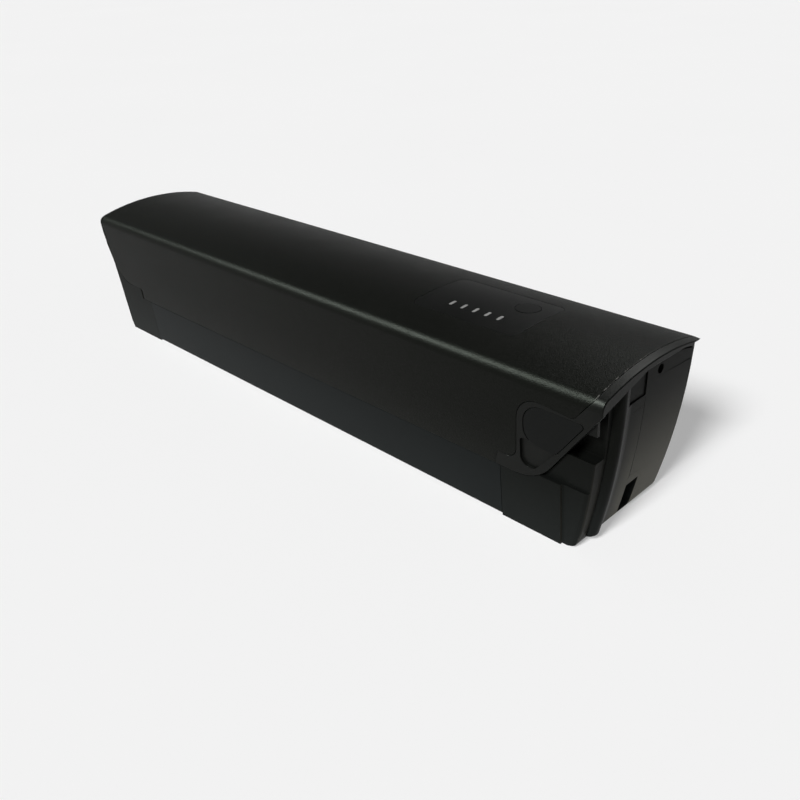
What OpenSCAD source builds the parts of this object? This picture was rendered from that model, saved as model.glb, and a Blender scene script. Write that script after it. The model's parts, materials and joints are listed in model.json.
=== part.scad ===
// Removable battery pack for an electric bicycle, with a crowned cover and two end caps.
// +X points to the end with the charging port, -Y is the side of that port, +Z is the crowned cover.
// The origin lies on the resting plane, under the middle of the pack. All sizes are in millimetres.

/* [Body] */
// Length of the top shell
shell_l = 434; // [431:1:500]
// Height of the crown above the resting plane
pack_h = 95; // [94:0.5:104]
// Width of the body at the resting plane
base_w = 75.6; // [75.2:0.2:88]
// Outward lean of each side, in degrees
side_draft = 4.3; // [3.8:0.1:5.5]
// Radius of the crowned top
crown_r = 155; // [140:1:220]
// Radius of the two long top edges
edge_r = 6; // [4.5:0.5:8]
// Wall of the top shell and of the lower case
wall = 2.6; // [2.3:0.1:2.8]
// Thickness of the floor of the lower case
floor_t = 2.5; // [2.2:0.1:3]
// Height of the line where the top shell meets the lower case
parting_z = 32; // [31:0.5:33]
// Height of the lower case above the resting plane of the end caps
foot_h = 0.5; // [0.3:0.1:0.9]

/* [End caps] */
// Reach of the lip beyond the shell at both ends
lip_l = 5; // [4:0.5:7]
// Length of the lower skirt at the port end
near_skirt_l = 53.3; // [50:0.1:56]
// Length of the lower skirt at the connector end
far_skirt_l = 46; // [44:0.5:50]
// Radius of the bowed end face
end_curve_r = 345; // [280:5:420]
// Height at which the bowed end face stands upright
end_top_z = 85; // [80:1:88]
// Length of the spigot that enters the case
spigot_l = 10; // [9:0.5:12]
// Wall of the end caps
cap_wall = 2.8; // [2.4:0.1:3.2]
// Width of the latch slot in the end face
latch_w = 11; // [7:0.2:13]
// Height of the latch slot in the end face
latch_h = 16; // [12:0.5:17]
// Depth of the latch slot
latch_depth = 14; // [10:0.5:16]
// Diameter of the hole for the lock pin
lock_pin_d = 5; // [4:0.1:5.4]

/* [Charging port] */
// Distance of the port from the end of the shell
port_x = 27.3; // [26.5:0.1:28]
// Height of the port
port_z = 64; // [63.5:0.1:64.5]
// Thickness of the rubber cover
cover_t = 2.2; // [1.6:0.1:2.6]
// Outer diameter of the socket barrel
socket_d = 10; // [8:0.5:11]
// Bore of the socket
socket_bore_d = 6.4; // [5.5:0.1:6.8]

/* [Indicator] */
// Length of the indicator panel
panel_l = 70; // [68:1:76]
// Width of the indicator panel
panel_w = 44; // [42:1:50]
// Distance of the panel from the port end of the shell
panel_inset = 60; // [57:1:64]
// Thickness of the panel
panel_t = 0.8; // [0.6:0.1:1]
// Spacing of the five light windows
led_pitch = 8; // [6:0.2:8.4]
// Length of a light window
led_l = 5; // [4:0.2:6]
// Width of a light window
led_w = 2; // [1.6:0.1:2.4]
// Diameter of the push button
button_d = 14; // [11:0.5:15]
// Travel of the push button
button_travel = 0.8; // [0.4:0.1:0.9]

/* [Cells] */
// Diameter of a cell
cell_d = 18.4; // [18.2:0.1:18.6]
// Length of a cell
cell_l = 65.2; // [64.8:0.1:65.4]
// Web between two neighbouring cells
cell_web = 1.2; // [1:0.1:1.3]

/* [Fits] */
// Gap at the seams between mouldings
seam_gap = 0.15; // [0.1:0.01:0.25]
// Clearance of the spigots and boards
slide_gap = 0.25; // [0.15:0.01:0.3]
// Clearance round the moving cover and the button
move_gap = 0.3; // [0.2:0.05:0.4]

/* [Hidden] */
$fn = 64;
arc_steps = 8;
crown_steps = 14;
cell_groups = 13;
x_near = shell_l / 2;
x_far = -shell_l / 2;
near_seam = x_near - near_skirt_l;
far_seam = x_far + far_skirt_l;
crown_z = pack_h - crown_r;
draft_tan = tan(side_draft);
draft_cos = cos(side_draft);
floor_z = foot_h + floor_t;
reach = 2 * base_w;
body_col = [0.06, 0.06, 0.065];
case_col = [0.07, 0.07, 0.075];
rubber_col = [0.035, 0.035, 0.035];
board_col = [0.05, 0.22, 0.1];
metal_col = [0.75, 0.74, 0.7];
copper_col = [0.72, 0.45, 0.2];

lap_t = 1.3;
lap_h = 3;
seal_h = 1;
cheek_t = wall + 0.2;
core_in = cheek_t + slide_gap;
core_z0 = floor_z + slide_gap;
port_t = cover_t + 2.8;
well_depth = cover_t + 1.2;
port_back = port_t + move_gap;
recess_in = port_back + 5.2;
ledge_z = parting_z + 4.5;
shelf_z = parting_z + 22;
step_x = x_near - 16.7;
end_bulge = 1.5;
end_axis_x = x_near + end_bulge - end_curve_r;
toe_z = 5;
plug_z = pack_h / 2 - 1.5;
upper_in = 2.9;

function half_w(z, t = 0) = base_w / 2 + z * draft_tan - t / draft_cos;
function unit(v) = v / norm(v);
function end_x(z) = end_axis_x + sqrt(end_curve_r * end_curve_r - (z - end_top_z) * (z - end_top_z));

// Points of one rounded corner between two straight edges.
function corner(a, b, c, r) =
    r == 0 ? [b] :
    let (
        u = unit(a - b),
        v = unit(c - b),
        half = acos(u * v) / 2,
        mid = b + unit(u + v) * r / sin(half),
        p = b + u * r / tan(half) - mid,
        q = b + v * r / tan(half) - mid,
        start = atan2(p[1], p[0]),
        turn = atan2(p[0] * q[1] - p[1] * q[0], p * q)
    )
    [for (i = [0:arc_steps])
        let (k = start + turn * i / arc_steps) mid + r * [cos(k), sin(k)]];

function flat(p) = [p[0], p[1]];

// Closed outline from corner points, each given as [x, y, radius].
function rounded(list) =
    let (n = len(list))
    [for (i = [0:n - 1])
        each corner(flat(list[(i + n - 1) % n]), flat(list[i]), flat(list[(i + 1) % n]), list[i][2])];

// One half of the body outline, set in by t, from the height z0 up to the top of the crown.
function half_pts(t, z0) =
    let (
        r = max(edge_r - t, 1),
        q = crown_r - t - r,
        a = half_w(crown_z, t + r),
        s = draft_tan,
        u = (sqrt(a * a * s * s - (1 + s * s) * (a * a - q * q)) - a * s) / (1 + s * s),
        cy = a + s * u,
        top = atan2(u, cy),
        big = crown_r - t
    )
    concat(
        [[half_w(z0, t), z0]],
        [for (i = [0:arc_steps])
            let (k = -side_draft + (top + side_draft) * i / arc_steps)
                [cy + r * cos(k), crown_z + u + r * sin(k)]],
        [for (i = [1:crown_steps])
            let (k = top + (90 - top) * i / crown_steps) [big * cos(k), crown_z + big * sin(k)]]);

// Whole outline, with its own inset on the port side and on the plain side.
function split_pts(t_port, t_plain, z0) =
    let (
        right = half_pts(t_plain, z0),
        left = half_pts(t_port, z0),
        skip = t_port == t_plain ? 2 : 1
    )
    concat(right, [for (i = [len(left) - skip:-1:0]) [-left[i][0], left[i][1]]]);

function section_pts(t, z0) = split_pts(t, t, z0);

module section_2d(t, z0) polygon(section_pts(t, z0));

module along_x(x0, x1) translate([x0, 0, 0]) rotate([90, 0, 90]) linear_extrude(x1 - x0) children();

module along_y(y0, y1) translate([0, y1, 0]) rotate([90, 0, 0]) linear_extrude(y1 - y0) children();

module slab(x0, x1, y0, y1, z0, z1) translate([x0, y0, z0]) cube([x1 - x0, y1 - y0, z1 - z0]);

module port_side(y1 = 0) slab(-shell_l, shell_l, -reach, y1, -reach, reach);

module plain_side() slab(-shell_l, shell_l, 0, reach, -reach, reach);

// Everything outside the body outline set in by t, between x0 and x1.
module outside(t, x0, x1) along_x(x0, x1) difference() {
    translate([-reach / 2, -reach / 4]) square([reach, reach]);
    section_2d(t, -reach / 2);
}

// Body between stations given as [x, inset].
module loft(stations, z0) {
    n = len(section_pts(1, z0));
    m = len(stations);
    pts = [for (s = stations) for (p = section_pts(s[1], z0)) [s[0], p[0], p[1]]];
    walls = [for (k = [0:m - 2]) for (i = [0:n - 1])
        each [[k * n + i, k * n + n + i, k * n + (i + 1) % n],
              [k * n + (i + 1) % n, k * n + n + i, k * n + n + (i + 1) % n]]];
    first = [[for (i = [0:n - 1]) i]];
    last = [[for (i = [n - 1:-1:0]) (m - 1) * n + i]];
    polyhedron(points = pts, faces = concat(walls, first, last));
}

// Solid behind the bowed end face, set in by t.
module end_bow(t) translate([end_axis_x, 0, end_top_z]) rotate([90, 0, 0])
    cylinder(r = end_curve_r - t, h = reach, center = true, $fn = 360);

// Frame on the port side: x along the pack, z straight into the body.
module on_port_side(x, z) translate([x, -half_w(z), z]) rotate([side_draft - 90, 0, 0]) children();

/* Outlines seen from the side, as [distance from the shell end, height, radius]. */

// Upper edge of the trim at the port end, grown by g.
function trim_top(g) = [
    [-58.1 - g, parting_z - 6, 0],
    [-54.4 - g, parting_z + 8.3 + g, 1.5],
    [-42.8 - g, parting_z + 8.3 + g, 6],
    [-41.3 - g, port_z + 14.6 + g, 13],
    [-9.5 - g, port_z + 12.1 + g, 3],
    [-g, pack_h - 6.5 + g, 0]
];
arm_slope = 54.8;
arm_top_z = port_z + 18.4;
function arm_x(z, g) = lip_l - (arm_top_z - z) / tan(arm_slope) + g / sin(arm_slope);

// Trim on the port side, grown by g.
function port_trim(g) = rounded(concat(
    [[-56.5 - g, parting_z + seam_gap - g, 0.6]],
    [for (i = [1:5]) trim_top(g)[i]],
    [[seam_gap - g, pack_h - 6.5 + g, 0], [seam_gap - g, pack_h + 10, 0],
        [arm_x(pack_h + 10, g), pack_h + 10, 0]],
    [[arm_x(parting_z, g), parting_z + seam_gap - g, 26]]));

// Trim on the plain side.
function plain_trim() = rounded(concat(
    [[-56.5, parting_z + seam_gap, 0.6]],
    [for (i = [1:5]) trim_top(0)[i]],
    [[seam_gap, pack_h - 6.5, 0], [seam_gap, pack_h + 10, 0], [4, pack_h + 10, 0]],
    [[4, parting_z + seam_gap, 0]]));

// Lower edge of the lip as [across, height], low on the port side and pointed on the plain side.
lip_edge = [[-reach, pack_h - 12 + 0.27 * (41 - reach)], [-9, pack_h - 3.36], [0, pack_h - 3.2],
    [24, pack_h - 3.9], [reach, pack_h - 3.9 - 0.07 * (reach - 24)]];
lip_tilt = 31;

// Opening that the trim leaves in the shell.
function near_cut() = rounded(concat(
    trim_top(seam_gap),
    [[60, pack_h - 6.5 + seam_gap, 0], [60, parting_z - 6, 0]]));

// Rubber cover with its straight hinge edge at the top; a negative g gives the seat round it.
cover_top_z = port_z + 11;
hinge_gap = 0.12;
fold_t = 0.8;
finger_depth = 1.4;
function cover_outline(g) = rounded([
    [-37.9 + g, cover_top_z + (g < 0 ? hinge_gap : 0), 10.8 - g],
    [-3.2 - 2 * g, cover_top_z + (g < 0 ? hinge_gap : 0), 1.6],
    [-19.2 - 0.5 * g, port_z - 11.2 + g, 5 - g],
    [-37.9 + g, port_z - 11.2 + g, 8.5 - g]
]);
finger_outline = rounded([
    [-40.2, port_z - 9.5, 2],
    [-40.2, port_z - 25.2, 5],
    [-31.7, port_z - 25.2, 4],
    [-17.8, port_z - 8.8, 1]
]);

// Lower corner of the shell at the connector end, grown by g, and the cap that fills it.
function far_cut(g) = rounded([
    [-60, parting_z - 6, 0],
    [37 + g, parting_z - 6, 0],
    [37 + g, parting_z + 8.4 + g, 1.5],
    [4.6 + g, parting_z + 8.2 + g, 20],
    [0.2 + g, pack_h - 4, 0],
    [-60, pack_h - 4, 0]
]);
far_face = [[7, -1, 0], [5.2, 6, 4], [3.9, plug_z - 6, 20], [3, plug_z + 10, 30], [-1, plug_z + 25, 30],
    [-lip_l - 1, pack_h - 7, 10], [-lip_l - 1, pack_h + 25, 0]];
function far_fill() = rounded(concat(
    far_face,
    [[-seam_gap, pack_h + 25, 0], [-seam_gap, pack_h - 4, 0],
        [4.6, parting_z + 8.2, 20], [35.2, parting_z + 8.2, 1.5]],
    [[35.2, parting_z, 0.5], [far_skirt_l - seam_gap, parting_z, 0.5], [far_skirt_l - seam_gap, -1, 0]]));
plug_wall = 9;
far_front = rounded(concat(far_face, [[90, pack_h + 25, 0], [90, -1, 0]]));
far_hollow = rounded([[11, 2, 3], [plug_wall, plug_z - 18, 10], [plug_wall, plug_z + 16, 20],
    [3.5, pack_h - 7, 6],
    [3.5, pack_h + 25, 0], [90, pack_h + 25, 0], [90, 2, 0]]);

module at_near() translate([x_near, 0]) children();

module at_far() translate([x_far, 0]) children();

/* Positions of the inner parts. */
pitch = cell_d + cell_web;
block_x0 = far_seam + spigot_l + 3;
bms_room = 44;
cell_cols = floor((near_seam - spigot_l - 11 - bms_room - block_x0) / pitch);
cell_rows = floor((pack_h - 15) / pitch);
cell_count = cell_cols * cell_rows;
block_l = cell_cols * pitch;
block_h = cell_rows * pitch;
pad_t = 2;
block_z0 = floor_z + pad_t;
block_top = block_z0 + block_h;
stop_t = 2;
holder_lip = 1.2;
holder_grip = 8;
cell_bore_d = cell_d + 0.2;
weld_d = 12;
tab_d = 8;
strip_t = 0.2;
sheet_t = 0.4;
holder_y = cell_l / 2 + holder_lip;
sheet_y = holder_y + strip_t;

bms_x0 = block_x0 + block_l + 7;
bms_x1 = near_seam - spigot_l - 4;
bms_z = floor_z + 9;
bms_w = 58;
bms_t = 1.6;
bms_top = bms_z + bms_t;
bms_post_x = [bms_x0 + 4, bms_x1 - 4];
bms_post_y = [-bms_w / 2 + 4, bms_w / 2 - 4];
fet_h = 4.6;
fet_x0 = bms_x0 + 22;
sink_top = bms_top + fet_h + 6;

panel_cx = x_near - panel_inset - panel_l / 2;
led_y = -10.5;
led_x = [for (i = [-2:2]) panel_cx + 0.6 + i * led_pitch];
button_x = panel_cx + 20;
button_y = 8;
button_z0 = pack_h - 3.4;
board_l = panel_l - 4;
board_w = 40;
board_t = 1.6;
board_top = pack_h - 8;
post_x = [panel_cx - board_l / 2 + 4.5, panel_cx + board_l / 2 - 4.5];
post_y = [-board_w / 2 + 4, board_w / 2 - 4];
switch_h = 3.4;
led_h = 0.9;

screw_d = 3;
screw_head_d = 5.6;
screw_head_h = 1.3;
case_screw_y = 21;
seal_off = 2.5;
screw_off = 6.5;
case_screw_x = [far_seam + screw_off, near_seam - screw_off];
small_screw_d = 2;

plug_w = 44;
plug_h = 16;
plug_x0 = x_far + 4.4;
plug_x1 = x_far + 20;
plug_flange = 2;
wall_x1 = x_far + plug_wall;
power_y = 14;
signal_y = [-4.8, -1.6, 1.6, 4.8];
lead_d = 3;
thin_d = 1.8;

latch_y = 3.2;
latch_z = 14.2;
latch_x0 = end_x(latch_z) - latch_depth;
latch_slope_x = latch_x0 + 6;
latch_slope = 0.74;
lock_y = 9;
lock_z = pack_h - 10.4;
lock_depth = 12;
rib_y = -24.5;

/* Mouldings of the case. */

module shell_2d() difference() {
    section_2d(0, parting_z);
    section_2d(wall, parting_z - 1);
    intersection() {
        section_2d(lap_t, parting_z - 1);
        translate([-reach / 2, 0]) square([reach, parting_z + lap_h + seal_h]);
    }
}

module panel_2d(g) translate([panel_cx, 0]) polygon(rounded([
    [-panel_l / 2 - g, -panel_w / 2 - g, 5], [panel_l / 2 + g, -panel_w / 2 - g, 5],
    [panel_l / 2 + g, panel_w / 2 + g, 5], [-panel_l / 2 - g, panel_w / 2 + g, 5]]));

module lamp_2d(g) polygon(rounded([
    [-led_w / 2 - g, -led_l / 2 - g, 0.7], [led_w / 2 + g, -led_l / 2 - g, 0.7],
    [led_w / 2 + g, led_l / 2 + g, 0.7], [-led_w / 2 - g, led_l / 2 + g, 0.7]]));

module top_shell() color(body_col) {
    difference() {
        along_x(x_far, x_near) shell_2d();
        along_y(-reach, reach) at_near() polygon(near_cut());
        along_y(-reach, reach) at_far() polygon(far_cut(0));
        intersection() {
            outside(panel_t + 0.05, panel_cx - panel_l, panel_cx + panel_l);
            translate([0, 0, pack_h / 2]) linear_extrude(pack_h) panel_2d(seam_gap);
        }
        slab(led_x[0] - 4, led_x[4] + 4, led_y - led_l / 2 - 1.5, led_y + led_l / 2 + 1.5,
            pack_h / 2, pack_h + 1);
        translate([button_x, button_y, pack_h / 2]) cylinder(d = button_d + 3, h = pack_h);
    }
    for (x = post_x) for (y = post_y) intersection() {
        translate([x, y, board_top]) difference() {
            cylinder(d = 5.4, h = 12);
            cylinder(d = small_screw_d + 0.1, h = 4);
        }
        along_x(panel_cx - panel_l, panel_cx + panel_l) section_2d(wall - 0.4, 0);
    }
}

module case_2d() {
    difference() {
        polygon(rounded([
            [-half_w(foot_h), foot_h, 2], [half_w(foot_h), foot_h, 2],
            [half_w(parting_z), parting_z, 0], [-half_w(parting_z), parting_z, 0]]));
        polygon(rounded([
            [-half_w(floor_z, wall), floor_z, 0.4], [half_w(floor_z, wall), floor_z, 0.4],
            [half_w(parting_z + 1, wall), parting_z + 1, 0],
            [-half_w(parting_z + 1, wall), parting_z + 1, 0]]));
    }
    for (m = [0, 1]) mirror([m, 0]) polygon([
        [half_w(parting_z - 2, wall), parting_z - 2],
        [half_w(parting_z - 2, lap_t + seam_gap), parting_z - 2],
        [half_w(parting_z + lap_h, lap_t + seam_gap), parting_z + lap_h],
        [half_w(parting_z + lap_h, wall), parting_z + lap_h]]);
}

module lower_case() color(case_col) difference() {
    union() {
        along_x(far_seam, near_seam) case_2d();
        for (x = [block_x0 - stop_t - slide_gap, block_x0 + block_l + slide_gap])
            slab(x, x + stop_t, -26, 26, floor_z - 0.5, floor_z + 12);
        for (x = bms_post_x) for (y = bms_post_y) translate([x, y, floor_z - 0.5]) difference() {
            cylinder(d = 6, h = bms_z - floor_z + 0.5);
            translate([0, 0, 2]) cylinder(d = small_screw_d + 0.1, h = bms_z);
        }
    }
    for (x = case_screw_x) for (y = [-case_screw_y, case_screw_y]) translate([x, y, 0]) {
        cylinder(d = screw_d + 0.4, h = floor_z + 1);
        cylinder(d = screw_head_d + 0.6, h = foot_h + screw_head_h + 0.1);
    }
    // Room for the foot of the trim at the port end.
    slab(near_seam - 3.6, near_seam + 1, -reach, reach, parting_z, reach);
}

// Spigot with a groove for its seal and two screw posts.
module spigot(x0, x1, seal_x) {
    difference() {
        along_x(x0, x1) difference() {
            section_2d(core_in, core_z0);
            section_2d(core_in + cap_wall, core_z0 + cap_wall);
        }
        along_x(seal_x - 1.2, seal_x + 1.2) difference() {
            section_2d(core_in - 1, core_z0 - 1);
            section_2d(core_in + 1.2, core_z0 + 1.2);
        }
    }
    for (y = [-case_screw_y, case_screw_y]) slab(x0, x1, y - 4, y + 4, core_z0 + 1.2, core_z0 + 11);
}

module spigot_bores(x) for (y = [-case_screw_y, case_screw_y])
    translate([x, y, 0]) cylinder(d = screw_d + 0.1, h = core_z0 + 9);

module seal(x) along_x(x - 1, x + 1) difference() {
    section_2d(core_in - 0.25, core_z0 - 0.1);
    section_2d(core_in + 1.1, core_z0 + 1.1);
}

// Rib of the end face with a long flank, swept along the bow.
module end_rib() intersection() {
    translate([end_axis_x, 0, end_top_z]) rotate([-90, 0, 0]) rotate([0, 0, -0.5])
        rotate_extrude(angle = 18, $fn = 360) polygon([
            [end_curve_r - 2, rib_y - 4.6], [end_curve_r + 0.4, rib_y - 4.6],
            [end_curve_r + 2.2, rib_y - 3.4],
            [end_curve_r + 3.1, rib_y - 1.6], [end_curve_r + 3.4, rib_y], [end_curve_r + 3.1, rib_y + 1.6],
            [end_curve_r + 2.2, rib_y + 3.4], [end_curve_r + 0.9, rib_y + 5.4],
            [end_curve_r + 0.4, rib_y + 10],
            [end_curve_r + 0.3, rib_y + 22], [end_curve_r - 2, rib_y + 22]]);
    slab(x_near - 40, x_near + 20, -reach, reach, toe_z - 0.5, pack_h - 6);
}

// Everything beyond the port side set in by t, between x0 and x1.
module port_flank(t, x0, x1) along_x(x0, x1) polygon([
    [-reach, -reach / 2], [-half_w(-reach / 2, t), -reach / 2],
    [-half_w(reach, t), reach], [-reach, reach]]);

// Everything above the underside of the lip, lowered by g.
module above_lip(x0, x1, g) intersection() {
    translate([x_near + lip_l, 0, -g]) rotate([0, -lip_tilt, 0]) along_x(-reach, reach) polygon(concat(
        [for (p = lip_edge) [p[0], p[1] * cos(lip_tilt)]], [[reach, pack_h + 40], [-reach, pack_h + 40]]));
    slab(x0, x1, -reach, reach, 0, pack_h + 20);
}

// Material outside the rounding of an upright corner of the end face, set in by t; side is 1 or -1.
module end_corner(side, r, t) {
    n = 9;
    m = 10;
    pts = [for (k = [0:m - 1])
        let (z = -1 + k * (pack_h + 2) / (m - 1), c = [end_x(z) - 0.96 * r, half_w(z, t) - 0.96 * r])
        let (list = concat([for (i = [0:5]) c + r * [sin(18 * i), cos(18 * i)]],
            [c + [r + 14, 0], c + [r + 14, r + 14], c + [0, r + 14]]))
        for (i = [0:n - 1]) let (p = side > 0 ? list[i] : list[n - 1 - i]) [p[0], side * p[1], z]];
    walls = [for (k = [0:m - 2]) for (i = [0:n - 1])
        each [[k * n + i, k * n + n + i, k * n + (i + 1) % n],
              [k * n + (i + 1) % n, k * n + n + i, k * n + n + (i + 1) % n]]];
    polyhedron(points = pts, faces = concat(walls,
        [[for (i = [0:n - 1]) i]], [[for (i = [n - 1:-1:0]) (m - 1) * n + i]]));
}

// Outer form of the cap at the port end, before it is hollowed.
module port_cap_body() difference() {
    intersection() {
        along_x(near_seam + seam_gap, x_near + 3) section_2d(0, 0);
        end_bow(0);
    }
    // Room for the shell and the plain cheek.
    intersection() {
        outside(core_in + 0.1, near_seam, x_near + 9);
        slab(x_far, x_near + 9, 0, reach, parting_z, reach);
    }
    intersection() {
        outside(core_in + 0.1, near_seam, x_near + 9);
        slab(x_far, x_near + 9, -reach, 0, port_z + 15.5, reach);
    }
    // Room for the cheek with the port, down to the top edge of the lower panel.
    intersection() {
        outside(port_back, near_seam, x_near + 9);
        port_side();
        slab(x_far, x_near + 9, -reach, reach, 0, port_z + 15.6);
        along_y(-reach, reach) at_near() union() {
            polygon(port_trim(seam_gap));
            polygon([
                [-near_skirt_l - 5, parting_z + 8], [arm_x(parting_z + 8, seam_gap), parting_z + 8],
                [arm_x(port_z + 20, seam_gap), port_z + 20], [-near_skirt_l - 5, port_z + 20]]);
        }
    }
    // Panel that steps in next to the end face, the panel over the ledge and the recess above its shelf.
    port_flank(1.5, step_x, x_near + 9);
    intersection() {
        port_flank(upper_in, near_seam + 22, x_near + 9);
        slab(x_far, x_near + 9, -reach, reach, ledge_z, reach);
    }
    intersection() {
        port_flank(recess_in, step_x, x_near + 9);
        slab(x_far, x_near + 9, -reach, reach, shelf_z, reach);
    }
    // Rounded upright corners and the toe of the end face.
    end_corner(1, 6.5, 0);
    end_corner(-1, 3, 1.5);
    along_y(-reach, reach) polygon([
        [end_x(toe_z) - 6, -1], [end_x(toe_z) - 6, 0],
        [end_x(toe_z) - 1.6, 1.8], [end_x(toe_z) + 0.02, toe_z],
        [x_near + 20, toe_z], [x_near + 20, -1]]);
}

module port_cap_hollow() difference() {
    along_x(near_seam - 1, x_near + 9)
        polygon(split_pts(port_back + cap_wall, core_in + cap_wall, core_z0 + cap_wall));
    port_flank(recess_in + cap_wall, step_x - cap_wall, x_near + 10);
    intersection() {
        outside(core_in + cap_wall + 2.2, x_near - 8.4 - cap_wall, x_near + 10);
        slab(x_far, x_near + 9, -reach, reach, port_z + 2, reach);
    }
}

module port_end_cap() color(case_col) difference() {
    union() {
        difference() {
            union() {
                intersection() {
                    port_cap_body();
                    end_bow(0);
                }
                end_rib();
            }
            intersection() {
                port_cap_hollow();
                end_bow(3);
            }
            // Room for the arch of the trim under the shell and under the lip.
            intersection() {
                outside(core_in + 2.1, x_near - 8.4, x_near + 1.9);
                slab(x_far, x_near + 9, -reach, reach, port_z + 5, reach);
            }
            above_lip(x_near - 0.1, x_near + 9, 0.3);
        }
        spigot(near_seam - spigot_l, near_seam + 1, near_seam - seal_off);
        intersection() {
            union() {
                slab(latch_x0 - 2, x_near, latch_y - latch_w / 2 - 2, latch_y + latch_w / 2 + 2,
                    core_z0, latch_z + latch_h / 2 + 2);
                translate([x_near + end_bulge - lock_depth - 3, lock_y, lock_z]) rotate([0, 90, 0])
                    cylinder(d = lock_pin_d + 5, h = lock_depth + 1.2);
            }
            end_bow(1);
            along_x(near_seam, x_near + 9) section_2d(core_in + 2.2, core_z0);
        }
    }
    // Latch slot with its sloping lower lip.
    along_y(latch_y - latch_w / 2, latch_y + latch_w / 2) polygon([
        [latch_x0, latch_z - latch_h / 2],
        [latch_slope_x, latch_z - latch_h / 2],
        [x_near + 9, latch_z - latch_h / 2 - latch_slope * (x_near + 9 - latch_slope_x)],
        [x_near + 9, latch_z + latch_h / 2],
        [latch_x0, latch_z + latch_h / 2]
    ]);
    // Hole for the lock pin.
    translate([x_near + end_bulge - lock_depth, lock_y, lock_z]) rotate([0, 90, 0])
        cylinder(d = lock_pin_d, h = lock_depth + 9);
    // Shallow pad under the lip.
    intersection() {
        slab(x_near - 20, x_near + 9, rib_y + 7.5, rib_y + 21.5, pack_h - 19.2, pack_h - 2);
        difference() {
            end_bow(-5);
            end_bow(0.3);
        }
    }
    // Pocket behind the ledge.
    intersection() {
        along_x(x_near - 14, x_near - 0.9) difference() {
            section_2d(upper_in + 1.1, 0);
            section_2d(recess_in, 0);
        }
        port_side();
        slab(x_far, x_near + 9, -reach, reach, shelf_z - 8, shelf_z + 9);
    }
    // Passage for the socket and its nut.
    on_port_side(x_near - port_x, port_z) cylinder(d = socket_d + 7.4, h = 30);
    spigot_bores(near_seam - screw_off);
}

// Outer form of the trim with the lip, which falls away slightly to its front edge.
module trim_body() loft([[near_seam - 5, 0], [x_near + seam_gap, 0], [x_near + lip_l - 0.5, 0.35],
    [x_near + lip_l, 0.8]], 0);

module port_trim_arch() color(body_col) difference() {
    union() {
        // Cheek on the port side with its half of the lip, thicker behind the port.
        intersection() {
            trim_body();
            port_side();
            along_y(-reach, reach) at_near() polygon(port_trim(0));
            union() {
                outside(cheek_t, near_seam - 6, x_near + lip_l + 3);
                above_lip(x_near + seam_gap, x_near + lip_l + 3, 0);
            }
        }
        intersection() {
            trim_body();
            outside(port_t, x_near - 43.9, x_near + 6);
            port_side();
            slab(x_far, x_near + 9, -reach, reach, 0, cover_top_z + 1.5);
            along_y(-reach, reach) at_near() polygon(port_trim(0));
        }
        // Plain cheek on the other side, and the arch under the end of the shell.
        difference() {
            union() {
                intersection() {
                    trim_body();
                    plain_side();
                    outside(cheek_t, near_seam - 6, x_near + 3);
                    along_y(-reach, reach) at_near() polygon(plain_trim());
                    end_bow(0);
                }
                intersection() {
                    along_x(x_near - 8, x_near + 1.1) difference() {
                        section_2d(wall + seam_gap, 0);
                        section_2d(core_in + 1.8, -5);
                    }
                    slab(x_far, x_near + 9, -reach, reach, port_z + 5.3, reach);
                }
            }
            end_corner(1, 6.5, 0);
        }
        // Half of the lip on the plain side.
        intersection() {
            trim_body();
            plain_side();
            above_lip(x_near + seam_gap, x_near + lip_l + 3, 0);
        }
    }
    // Seat of the cover, the well of the socket and the finger recess.
    intersection() {
        outside(cover_t + 0.2, near_seam, x_near);
        port_side();
        along_y(-reach, reach) at_near() polygon(cover_outline(-move_gap));
    }
    intersection() {
        outside(finger_depth, near_seam, x_near);
        port_side();
        along_y(-reach, reach) at_near() polygon(finger_outline);
    }
    on_port_side(x_near - port_x, port_z) translate([0, 0, -1])
        cylinder(d = socket_d + 4.4, h = well_depth + 1);
    on_port_side(x_near - port_x, port_z) cylinder(d = socket_d + 0.3, h = 12);
}

module connector_end_cap() color(case_col) difference() {
    union() {
        intersection() {
            union() {
                along_x(x_far - 0.01, far_seam) section_2d(0, 0);
                loft([[x_far - lip_l, 3.2], [x_far - 0.95 * lip_l, 2.3], [x_far - 0.8 * lip_l, 1.4],
                    [x_far - 0.5 * lip_l, 0.7], [x_far - seam_gap, 0.4]], 0);
            }
            along_y(-reach, reach) at_far() polygon(far_fill());
        }
        difference() {
            intersection() {
                along_x(x_far - 1, far_seam + 0.1) section_2d(core_in, core_z0);
                along_y(-reach, reach) at_far() polygon(far_front);
            }
            intersection() {
                along_x(x_far, far_seam + 1) section_2d(core_in + cap_wall, core_z0 + cap_wall);
                along_y(-reach, reach) at_far() polygon(far_hollow);
            }
        }
        spigot(far_seam, far_seam + spigot_l, far_seam + seal_off);
    }
    intersection() {
        along_x(x_far, far_seam + 1) section_2d(core_in + cap_wall, core_z0 + cap_wall);
        along_y(-reach, reach) at_far() polygon(far_hollow);
    }
    slab(x_far - 20, x_far + 30, -plug_w / 2, plug_w / 2, plug_z - plug_h / 2, plug_z + plug_h / 2);
    spigot_bores(far_seam + screw_off);
}

/* Charging port. */

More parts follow.
